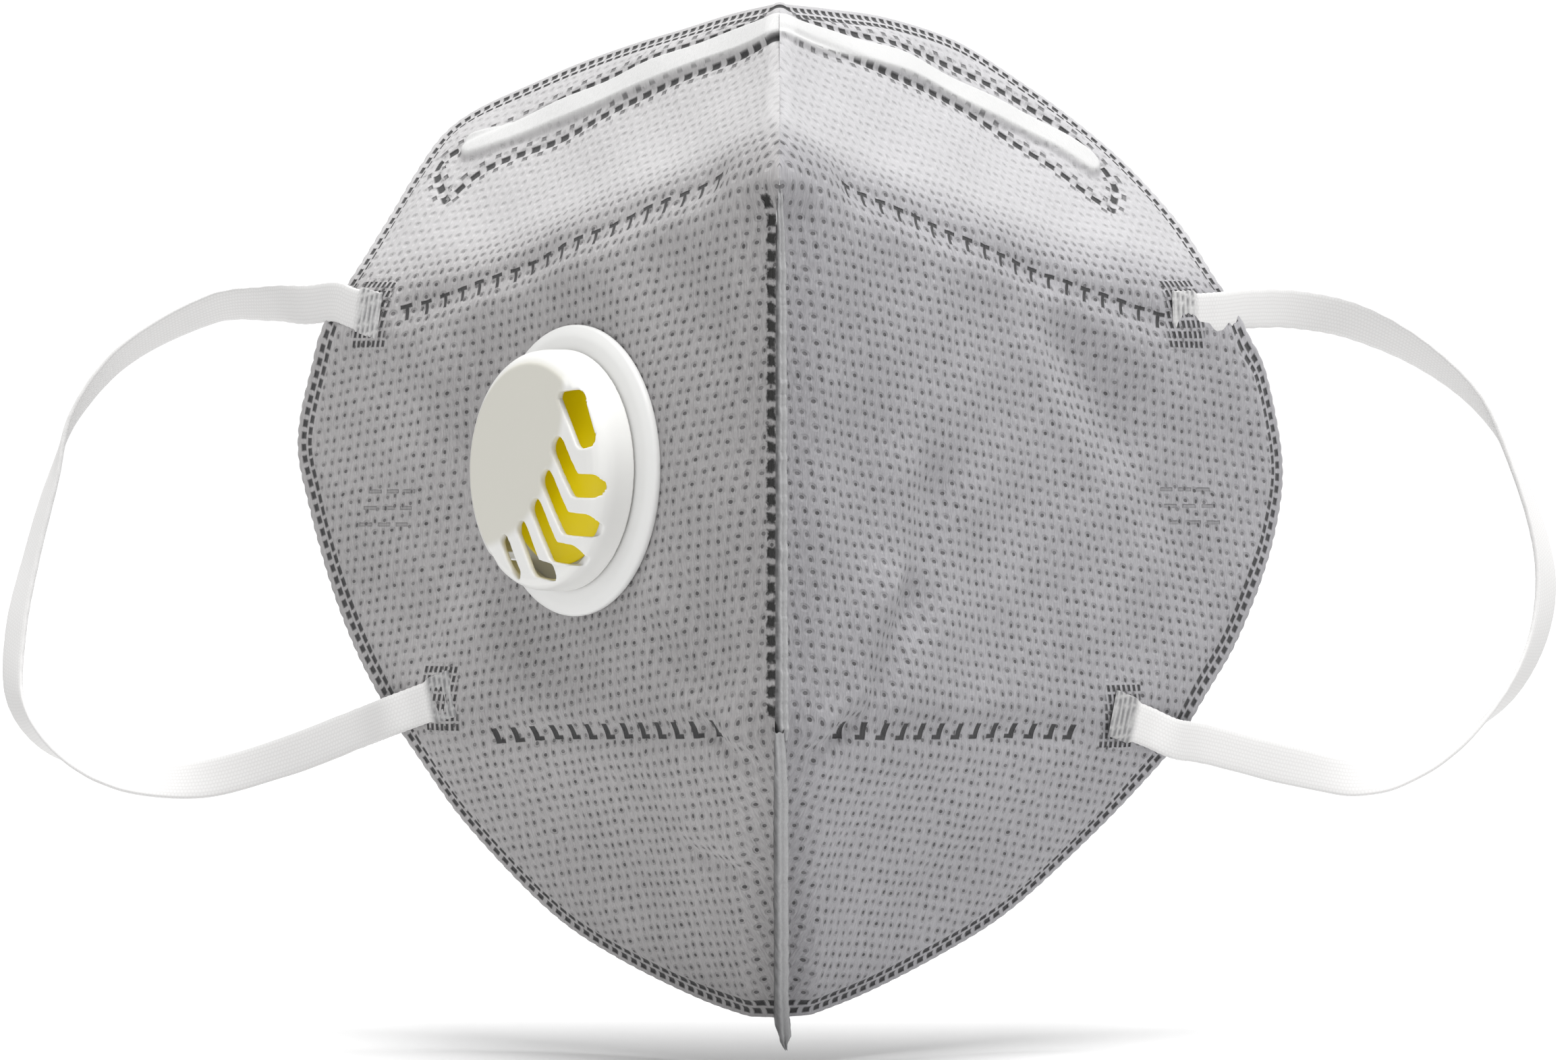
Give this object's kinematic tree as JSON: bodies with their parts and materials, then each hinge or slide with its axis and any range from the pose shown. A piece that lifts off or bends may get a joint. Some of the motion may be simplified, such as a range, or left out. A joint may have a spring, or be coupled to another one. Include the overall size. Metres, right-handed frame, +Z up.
{
  "type": "disposable dust mask",
  "caption": "Vertical flat-fold dust mask of grey embossed non-woven with a centre seam, nose strip, round exhalation valve and two flat ear loops.",
  "frame": {"origin": "centre of the face opening, the middle of the rim's box", "axes": "+Z up as worn, +Y from the seam towards the wearer's face, +X to the right as seen from the front; the valve is on the -X half"},
  "size_m": [0.2335, 0.0976, 0.1511],
  "materials": {
    "cover_fabric": "embossed grey spunbond non-woven, matt",
    "filter_media": "melt-blown filter media, matt white",
    "liner_fabric": "smooth white non-woven, matt",
    "weld_seam": "ultrasonically welded non-woven edge, slightly glazed",
    "nose_strip": "white plastic-coated soft wire",
    "nose_foam": "open-cell soft foam",
    "valve_plastic": "white moulded polypropylene, satin",
    "diaphragm_rubber": "smooth yellow rubber sheet",
    "ear_elastic": "flat white knitted elastic"
  },
  "bodies": {
    "spine": {"centre_seam": "weld_seam"},
    "cheek_left": {"liner_cheek_left": "liner_fabric", "filter_cheek_left": "filter_media", "outer_cheek_left": "cover_fabric", "valve_body": "valve_plastic", "valve_cover": "valve_plastic", "valve_lock_ring": "valve_plastic"},
    "nose_left": {"liner_nose_left": "liner_fabric", "filter_nose_left": "filter_media", "outer_nose_left": "cover_fabric", "nose_strip_left": "nose_strip", "nose_foam_left": "nose_foam"},
    "chin_left": {"liner_chin_left": "liner_fabric", "filter_chin_left": "filter_media", "outer_chin_left": "cover_fabric"},
    "ear_loop_left": {"ear_loop_left": "ear_elastic"},
    "cheek_right": {"liner_cheek_right": "liner_fabric", "filter_cheek_right": "filter_media", "outer_cheek_right": "cover_fabric"},
    "nose_right": {"liner_nose_right": "liner_fabric", "filter_nose_right": "filter_media", "outer_nose_right": "cover_fabric", "nose_strip_right": "nose_strip", "nose_foam_right": "nose_foam"},
    "chin_right": {"liner_chin_right": "liner_fabric", "filter_chin_right": "filter_media", "outer_chin_right": "cover_fabric"},
    "ear_loop_right": {"ear_loop_right": "ear_elastic"},
    "diaphragm": {"valve_diaphragm": "diaphragm_rubber"},
    "chin_seam": {"chin_seam": "weld_seam"}
  },
  "joints": [
    {"name": "left_fold", "type": "hinge", "parent": "spine", "child": "cheek_left", "pos_m": [0, -0.052, 0.0443], "axis": [0, 0, -1], "range_deg": [0, 38]},
    {"name": "right_fold", "type": "hinge", "parent": "spine", "child": "cheek_right", "pos_m": [0, -0.052, 0.0443], "axis": [0, 0, 1], "range_deg": [0, 38.2]},
    {"name": "nose_left_crease", "type": "hinge", "parent": "cheek_left", "child": "nose_left", "pos_m": [0, -0.052, 0.0443], "axis": [0.6841, -0.7084, 0.1737], "range_deg": [0, 32.7]},
    {"name": "nose_right_crease", "type": "hinge", "parent": "cheek_right", "child": "nose_right", "pos_m": [0, -0.052, 0.0443], "axis": [0.6841, 0.7084, -0.1737], "range_deg": [0, 32.7]},
    {"name": "chin_left_crease", "type": "hinge", "parent": "cheek_left", "child": "chin_left", "pos_m": [0, -0.052, -0.0292], "axis": [-0.6947, 0.7193, 0], "range_deg": [0, 21.6]},
    {"name": "chin_right_crease", "type": "hinge", "parent": "cheek_right", "child": "chin_right", "pos_m": [0, -0.052, -0.0292], "axis": [-0.6947, -0.7193, 0], "range_deg": [0, 21.6]},
    {"name": "chin_seam_swing", "type": "hinge", "parent": "spine", "child": "chin_seam", "pos_m": [0, -0.052, -0.0292], "axis": [-1, 0, 0], "range_deg": [0, 9.8]},
    {"name": "ear_loop_left_swing", "type": "hinge", "parent": "cheek_left", "child": "ear_loop_left", "pos_m": [-0.0648, 0.0176, 0.00045], "axis": [-0.1226, 0.2129, 0.9694], "range_deg": [-90, 75], "deforming": ["ear_loop_left"]},
    {"name": "ear_loop_right_swing", "type": "hinge", "parent": "cheek_right", "child": "ear_loop_right", "pos_m": [0.0648, 0.0176, 0.0005], "axis": [-0.1224, -0.2126, -0.9695], "range_deg": [-90, 75], "deforming": ["ear_loop_right"]},
    {"name": "diaphragm_flap", "type": "hinge", "parent": "cheek_left", "child": "diaphragm", "pos_m": [-0.03745, -0.02301, 0.01531], "axis": [-0.5162, 0.5346, -0.6691], "range_deg": [0, 9], "stiffness_Nm_per_rad": 0.004, "springref_deg": -5.73}
  ],
  "couplings": [
    {"joint": "right_fold", "follows": "left_fold", "ratio": 1},
    {"joint": "nose_left_crease", "follows": "left_fold", "ratio": 0.85692},
    {"joint": "nose_right_crease", "follows": "left_fold", "ratio": 0.85692},
    {"joint": "chin_left_crease", "follows": "left_fold", "ratio": 0.5637},
    {"joint": "chin_right_crease", "follows": "left_fold", "ratio": 0.5637},
    {"joint": "chin_seam_swing", "follows": "left_fold", "ratio": 0.25433}
  ]
}
